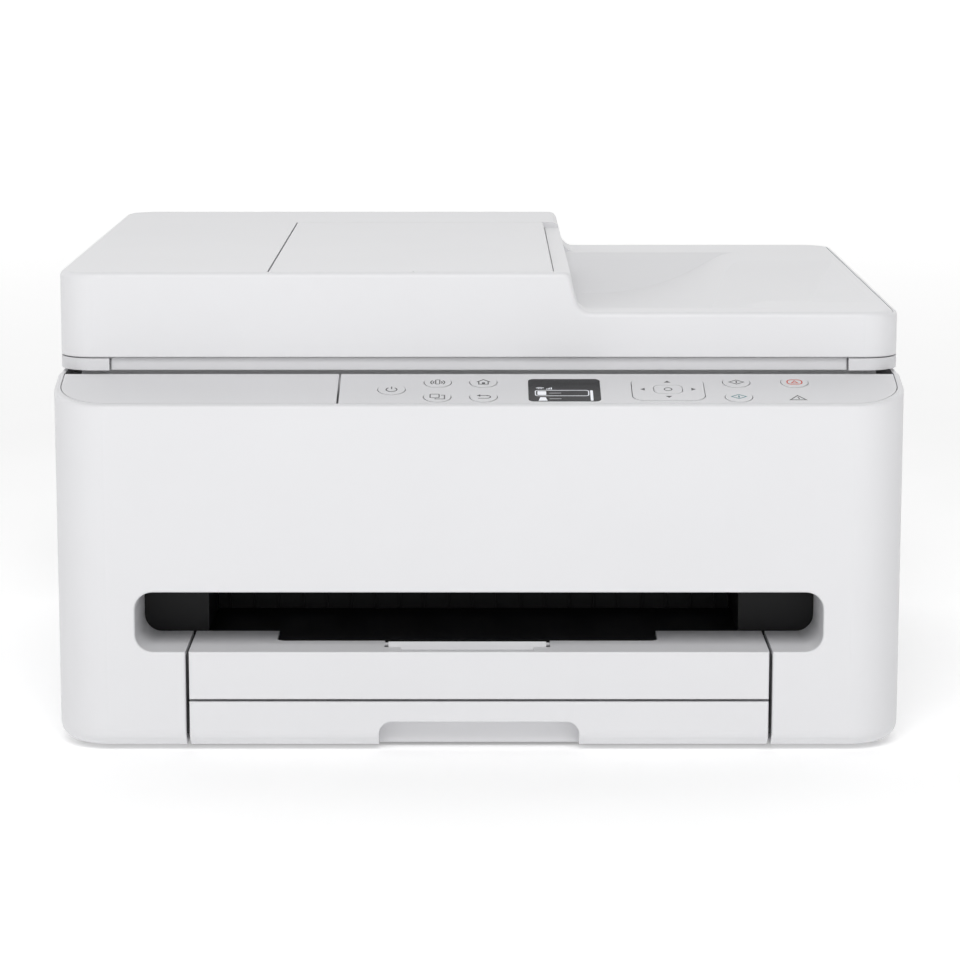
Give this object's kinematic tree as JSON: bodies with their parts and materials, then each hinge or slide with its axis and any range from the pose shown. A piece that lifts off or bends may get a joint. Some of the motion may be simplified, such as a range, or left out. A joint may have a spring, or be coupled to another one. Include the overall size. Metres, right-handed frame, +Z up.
{
  "type": "inkjet printer with scanner and document feeder",
  "caption": "White desktop inkjet printer with a lift-up scanner, a document feeder lid with a sunken dish, a sloping key panel, an output tray and a paper cassette.",
  "frame": {"origin": "on the floor, below the middle of the case", "axes": "+X to the right seen from the front, -Y out of the front, +Z up"},
  "size_m": [0.38, 0.348, 0.212],
  "materials": {
    "case_white": "fine satin grain",
    "key_white": "satin",
    "display_black": "polished",
    "frame_black": "fine grain",
    "support_grey": "satin",
    "base_grey": "moulded",
    "guide_grey": "moulded",
    "sheet_steel": "zinc plated",
    "roller_rubber": "ground",
    "gear_white": "moulded",
    "ink_black": "moulded",
    "board_green": "solder mask",
    "socket_black": "moulded",
    "bar_black": "moulded",
    "clear_glass": "polished"
  },
  "bodies": {
    "base": {"outer_case": "case_white", "rear_case": "case_white", "base_case": "base_grey", "rubber_feet": "roller_rubber", "operation_panel": "case_white", "panel_side_cover": "case_white", "display_window": "display_black", "panel_board": "board_green", "exit_frame": "frame_black", "chassis": "sheet_steel", "carriage_belt": "roller_rubber", "drive_motors": "sheet_steel", "platen": "base_grey", "maintenance_station": "base_grey", "main_board": "board_green", "power_supply": "socket_black", "mains_inlet": "socket_black", "usb_socket": "socket_black", "case_screws": "sheet_steel", "inner_deck": "base_grey"},
    "carriage": {"carriage": "base_grey", "ink_cartridges": "ink_black"},
    "scanner_unit": {"scanner_case": "base_grey", "scanner_frame": "case_white", "scanner_glass": "clear_glass"},
    "document_cover": {"cover_shell": "case_white", "cover_underside": "case_white"},
    "rear_access_cover": {"rear_access_cover": "case_white"},
    "motor_pulley": {"motor_pulley": "gear_white"},
    "idler_pulley": {"idler_pulley": "gear_white"},
    "feed_roller": {"feed_roller": "roller_rubber"},
    "pinch_rollers": {"pinch_rollers": "gear_white"},
    "eject_roller": {"eject_roller": "roller_rubber"},
    "star_wheels": {"star_wheels": "gear_white"},
    "idler_gear": {"idler_gear": "gear_white"},
    "motor_pinion": {"motor_pinion": "gear_white"},
    "pickup_arm": {"pickup_arm": "base_grey"},
    "pickup_roller": {"pickup_roller": "roller_rubber"},
    "output_tray": {"output_tray": "case_white"},
    "output_support": {"output_support": "support_grey"},
    "cassette": {"cassette": "case_white"},
    "left_paper_guide": {"left_paper_guide": "guide_grey"},
    "right_paper_guide": {"right_paper_guide": "guide_grey"},
    "paper_length_guide": {"paper_length_guide": "guide_grey"},
    "scan_bar": {"scan_bar": "bar_black"},
    "document_tray": {"document_tray": "case_white"},
    "front_document_guide": {"front_document_guide": "guide_grey"},
    "rear_document_guide": {"rear_document_guide": "guide_grey"},
    "feeder_roller": {"feeder_roller": "roller_rubber"},
    "feeder_eject_roller": {"feeder_eject_roller": "roller_rubber"},
    "power_button": {"power_button": "key_white"},
    "function_button_1": {"function_button_1": "key_white"},
    "function_button_2": {"function_button_2": "key_white"},
    "function_button_3": {"function_button_3": "key_white"},
    "function_button_4": {"function_button_4": "key_white"},
    "nav_pad": {"nav_pad": "key_white"},
    "ok_button": {"ok_button": "key_white"},
    "start_mono_button": {"start_mono_button": "key_white"},
    "start_colour_button": {"start_colour_button": "key_white"},
    "stop_button": {"stop_button": "key_white"}
  },
  "joints": [
    {"name": "scanner_unit_hinge", "type": "hinge", "parent": "base", "child": "scanner_unit", "pos_m": [0, 0.1645, 0.16253], "axis": [-1, 0, 0], "range_deg": [0, 45]},
    {"name": "document_cover_hinge", "type": "hinge", "parent": "scanner_unit", "child": "document_cover", "pos_m": [0, 0.167, 0.17902], "axis": [-1, 0, 0], "range_deg": [0, 70]},
    {"name": "document_tray_hinge", "type": "hinge", "parent": "document_cover", "child": "document_tray", "pos_m": [0.0324, -0.011, 0.21052], "axis": [0, 1, 0], "range_deg": [0, 145]},
    {"name": "front_document_guide_slide", "type": "slide", "parent": "document_cover", "child": "front_document_guide", "axis": [0, 1, 0], "range_m": [0, 0.05]},
    {"name": "rear_document_guide_slide", "type": "slide", "parent": "document_cover", "child": "rear_document_guide", "axis": [0, -1, 0], "range_m": [0, 0.05]},
    {"name": "feeder_roller_spin", "type": "hinge", "parent": "document_cover", "child": "feeder_roller", "pos_m": [-0.106, 0, 0.20333], "axis": [0, 1, 0], "continuous": true},
    {"name": "feeder_eject_roller_spin", "type": "hinge", "parent": "document_cover", "child": "feeder_eject_roller", "pos_m": [0.026, 0, 0.18402], "axis": [0, 1, 0], "continuous": true},
    {"name": "scan_bar_slide", "type": "slide", "parent": "scanner_unit", "child": "scan_bar", "axis": [1, 0, 0], "range_m": [0, 0.29]},
    {"name": "output_tray_slide", "type": "slide", "parent": "base", "child": "output_tray", "axis": [0, -1, 0], "range_m": [0, 0.09]},
    {"name": "output_support_hinge", "type": "hinge", "parent": "output_tray", "child": "output_support", "pos_m": [-0.00525, -0.1537, 0.0449], "axis": [-1, 0, 0], "range_deg": [0, 100]},
    {"name": "cassette_slide", "type": "slide", "parent": "base", "child": "cassette", "axis": [0, -1, 0], "range_m": [0, 0.26]},
    {"name": "left_paper_guide_slide", "type": "slide", "parent": "cassette", "child": "left_paper_guide", "axis": [1, 0, 0], "range_m": [0, 0.055]},
    {"name": "right_paper_guide_slide", "type": "slide", "parent": "cassette", "child": "right_paper_guide", "axis": [-1, 0, 0], "range_m": [0, 0.055]},
    {"name": "paper_length_guide_slide", "type": "slide", "parent": "cassette", "child": "paper_length_guide", "axis": [0, 1, 0], "range_m": [0, 0.12]},
    {"name": "carriage_slide", "type": "slide", "parent": "base", "child": "carriage", "axis": [-1, 0, 0], "range_m": [0, 0.243]},
    {"name": "motor_pulley_spin", "type": "hinge", "parent": "base", "child": "motor_pulley", "pos_m": [0.16, 0.0795, 0.1005], "axis": [0, 1, 0], "continuous": true},
    {"name": "idler_pulley_spin", "type": "hinge", "parent": "base", "child": "idler_pulley", "pos_m": [-0.16, 0.0795, 0.1005], "axis": [0, 1, 0], "continuous": true},
    {"name": "feed_roller_spin", "type": "hinge", "parent": "base", "child": "feed_roller", "pos_m": [0, 0.048, 0.056], "axis": [1, 0, 0], "continuous": true},
    {"name": "eject_roller_spin", "type": "hinge", "parent": "base", "child": "eject_roller", "pos_m": [0, -0.07, 0.0565], "axis": [1, 0, 0], "continuous": true},
    {"name": "idler_gear_spin", "type": "hinge", "parent": "base", "child": "idler_gear", "pos_m": [-0.1815, -0.011, 0.05625], "axis": [1, 0, 0], "continuous": true},
    {"name": "motor_pinion_spin", "type": "hinge", "parent": "base", "child": "motor_pinion", "pos_m": [-0.1815, 0.06921, 0.03479], "axis": [1, 0, 0], "continuous": true},
    {"name": "pinch_rollers_spin", "type": "hinge", "parent": "base", "child": "pinch_rollers", "pos_m": [0, 0.048, 0.0663], "axis": [1, 0, 0], "continuous": true},
    {"name": "star_wheels_spin", "type": "hinge", "parent": "base", "child": "star_wheels", "pos_m": [0, -0.07, 0.0663], "axis": [1, 0, 0], "continuous": true},
    {"name": "pickup_arm_hinge", "type": "hinge", "parent": "base", "child": "pickup_arm", "pos_m": [-0.006, 0.099, 0.031], "axis": [-1, 0, 0], "range_deg": [0, 8]},
    {"name": "pickup_roller_spin", "type": "hinge", "parent": "pickup_arm", "child": "pickup_roller", "pos_m": [-0.006, 0.05, 0.0205], "axis": [1, 0, 0], "continuous": true},
    {"name": "rear_access_cover_hinge", "type": "hinge", "parent": "base", "child": "rear_access_cover", "pos_m": [0, 0.1726, 0.0266], "axis": [-1, 0, 0], "range_deg": [0, 80]},
    {"name": "power_button_press", "type": "slide", "parent": "base", "child": "power_button", "axis": [0, 0.2419, -0.9703], "range_m": [0, 0.0007], "stiffness_N_per_m": 500},
    {"name": "function_button_1_press", "type": "slide", "parent": "base", "child": "function_button_1", "axis": [0, 0.2419, -0.9703], "range_m": [0, 0.0007], "stiffness_N_per_m": 500},
    {"name": "function_button_2_press", "type": "slide", "parent": "base", "child": "function_button_2", "axis": [0, 0.2419, -0.9703], "range_m": [0, 0.0007], "stiffness_N_per_m": 500},
    {"name": "function_button_3_press", "type": "slide", "parent": "base", "child": "function_button_3", "axis": [0, 0.2419, -0.9703], "range_m": [0, 0.0007], "stiffness_N_per_m": 500},
    {"name": "function_button_4_press", "type": "slide", "parent": "base", "child": "function_button_4", "axis": [0, 0.2419, -0.9703], "range_m": [0, 0.0007], "stiffness_N_per_m": 500},
    {"name": "nav_pad_press", "type": "slide", "parent": "base", "child": "nav_pad", "axis": [0, 0.2419, -0.9703], "range_m": [0, 0.0007], "stiffness_N_per_m": 500},
    {"name": "ok_button_press", "type": "slide", "parent": "base", "child": "ok_button", "axis": [0, 0.2419, -0.9703], "range_m": [0, 0.0007], "stiffness_N_per_m": 500},
    {"name": "start_mono_button_press", "type": "slide", "parent": "base", "child": "start_mono_button", "axis": [0, 0.2419, -0.9703], "range_m": [0, 0.0007], "stiffness_N_per_m": 500},
    {"name": "start_colour_button_press", "type": "slide", "parent": "base", "child": "start_colour_button", "axis": [0, 0.2419, -0.9703], "range_m": [0, 0.0007], "stiffness_N_per_m": 500},
    {"name": "stop_button_press", "type": "slide", "parent": "base", "child": "stop_button", "axis": [0, 0.2419, -0.9703], "range_m": [0, 0.0007], "stiffness_N_per_m": 500}
  ],
  "couplings": [
    {"joint": "rear_document_guide_slide", "follows": "front_document_guide_slide", "ratio": 1},
    {"joint": "right_paper_guide_slide", "follows": "left_paper_guide_slide", "ratio": 1},
    {"joint": "feeder_eject_roller_spin", "follows": "feeder_roller_spin", "ratio": 0.91667},
    {"joint": "motor_pulley_spin", "follows": "carriage_slide", "rad_per_m": 166.67},
    {"joint": "idler_pulley_spin", "follows": "carriage_slide", "rad_per_m": 166.67},
    {"joint": "eject_roller_spin", "follows": "feed_roller_spin", "ratio": 1},
    {"joint": "idler_gear_spin", "follows": "feed_roller_spin", "ratio": -0.73529},
    {"joint": "motor_pinion_spin", "follows": "feed_roller_spin", "ratio": -5},
    {"joint": "pinch_rollers_spin", "follows": "feed_roller_spin", "ratio": -1.5},
    {"joint": "star_wheels_spin", "follows": "feed_roller_spin", "ratio": -1.375}
  ]
}
